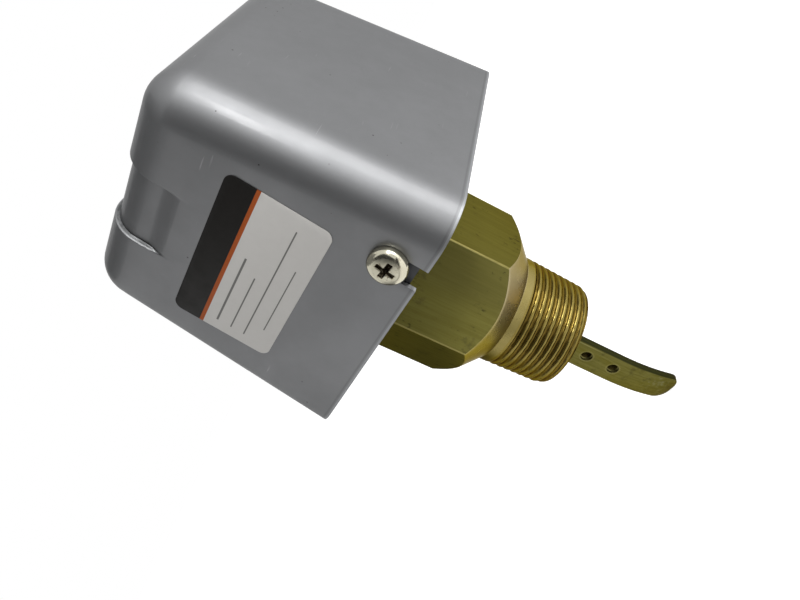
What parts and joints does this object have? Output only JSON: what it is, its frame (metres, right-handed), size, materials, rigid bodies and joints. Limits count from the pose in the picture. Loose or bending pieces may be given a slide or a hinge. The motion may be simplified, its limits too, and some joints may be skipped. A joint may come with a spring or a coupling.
{
  "type": "paddle flow switch",
  "caption": "Paddle flow switch: drawn steel cover over a sprung lever and switch, brass hexagon body, taper pipe thread and a short paddle arm.",
  "frame": {"origin": "centre of the pipe thread's free end", "axes": "+Z along the thread's axis towards the cover, -Y out of the labelled front, +X to the right seen from the front"},
  "size_m": [0.0702, 0.0768, 0.1361],
  "materials": {
    "cover_paint": "silver paint, satin",
    "black_paint": "black, satin",
    "brass_body": "machined, dull on the drawn flats",
    "brass_inner": "turned",
    "brass_strip": "rolled strip, dull",
    "bronze": "thin formed bronze",
    "contact_brass": "stamped",
    "zinc_steel": "zinc plated sheet",
    "screw_steel": "nickel plated",
    "spring_steel": "bright wire and clips",
    "rubber": "matt black",
    "fibre": "pressed fibre",
    "phenolic": "moulded phenolic",
    "plunger_plastic": "moulded",
    "label_film": "printed film"
  },
  "bodies": {
    "root": {"body": "brass_body", "body_gasket": "fibre", "base_plate": "black_paint", "lock_nut": "brass_body", "bellows_gasket": "rubber", "bellows_flange": "brass_inner", "bellows_circlip": "spring_steel", "bellows": "bronze", "cable_grommet": "rubber", "earth_screw": "screw_steel", "pivot_yoke": "zinc_steel", "pivot_pin": "screw_steel", "pivot_clips": "spring_steel", "switch_bracket": "zinc_steel", "bracket_screws": "screw_steel", "insulation_sheet": "fibre", "switch_case": "phenolic", "switch_lid": "phenolic", "terminals": "contact_brass", "terminal_screws": "screw_steel", "switch_screws": "screw_steel", "switch_nuts": "screw_steel", "range_spring": "spring_steel", "cover_nuts": "screw_steel"},
    "lever": {"bellows_cap": "brass_inner", "lever_rod": "brass_inner", "lever_hub": "brass_inner", "pivot_spacers": "brass_inner", "paddle_arm": "brass_strip", "paddle_screws": "screw_steel", "switch_arm": "zinc_steel", "arm_screws": "screw_steel", "trip_screw": "screw_steel", "trip_nut": "screw_steel"},
    "plunger": {"switch_plunger": "plunger_plastic"},
    "adjuster": {"adjusting_screw": "screw_steel", "adjuster_clip": "spring_steel"},
    "seat": {"spring_seat": "brass_inner"},
    "cover": {"cover": "cover_paint", "label_plate": "label_film"},
    "front_screw": {"front_cover_screw": "screw_steel"},
    "rear_screw": {"rear_cover_screw": "screw_steel"}
  },
  "joints": [
    {"name": "lever_swing", "type": "hinge", "parent": "root", "child": "lever", "pos_m": [0, 0, 0.059], "axis": [1, 0, 0], "range_deg": [0, 3], "stiffness_Nm_per_rad": 0.6, "springref_deg": -2.86, "deforming": ["bellows", "range_spring"]},
    {"name": "plunger_travel", "type": "slide", "parent": "root", "child": "plunger", "axis": [0, 0, 1], "range_m": [0, 0.00158]},
    {"name": "adjuster_turn", "type": "hinge", "parent": "root", "child": "adjuster", "pos_m": [0, 0.0095, 0.088], "axis": [0, 0, 1], "range_deg": [0, 1800]},
    {"name": "seat_travel", "type": "slide", "parent": "root", "child": "seat", "axis": [0, 0, -1], "range_m": [0, 0.004], "deforming": ["range_spring"]},
    {"name": "cover_lift", "type": "slide", "parent": "root", "child": "cover", "axis": [0, 0, 1], "range_m": [0, 0.04]},
    {"name": "front_screw_out", "type": "slide", "parent": "root", "child": "front_screw", "axis": [0, -0.9928, 0.1201], "range_m": [0, 0.00488]},
    {"name": "rear_screw_out", "type": "slide", "parent": "root", "child": "rear_screw", "axis": [0, 0.9997, 0.0262], "range_m": [0, 0.00112]}
  ],
  "couplings": [
    {"joint": "plunger_travel", "follows": "lever_swing", "m_per_rad": 0.0302},
    {"joint": "adjuster_turn", "follows": "seat_travel", "rad_per_m": 7854},
    {"joint": "front_screw_out", "follows": "cover_lift", "ratio": 0.122},
    {"joint": "rear_screw_out", "follows": "cover_lift", "ratio": 0.028}
  ]
}
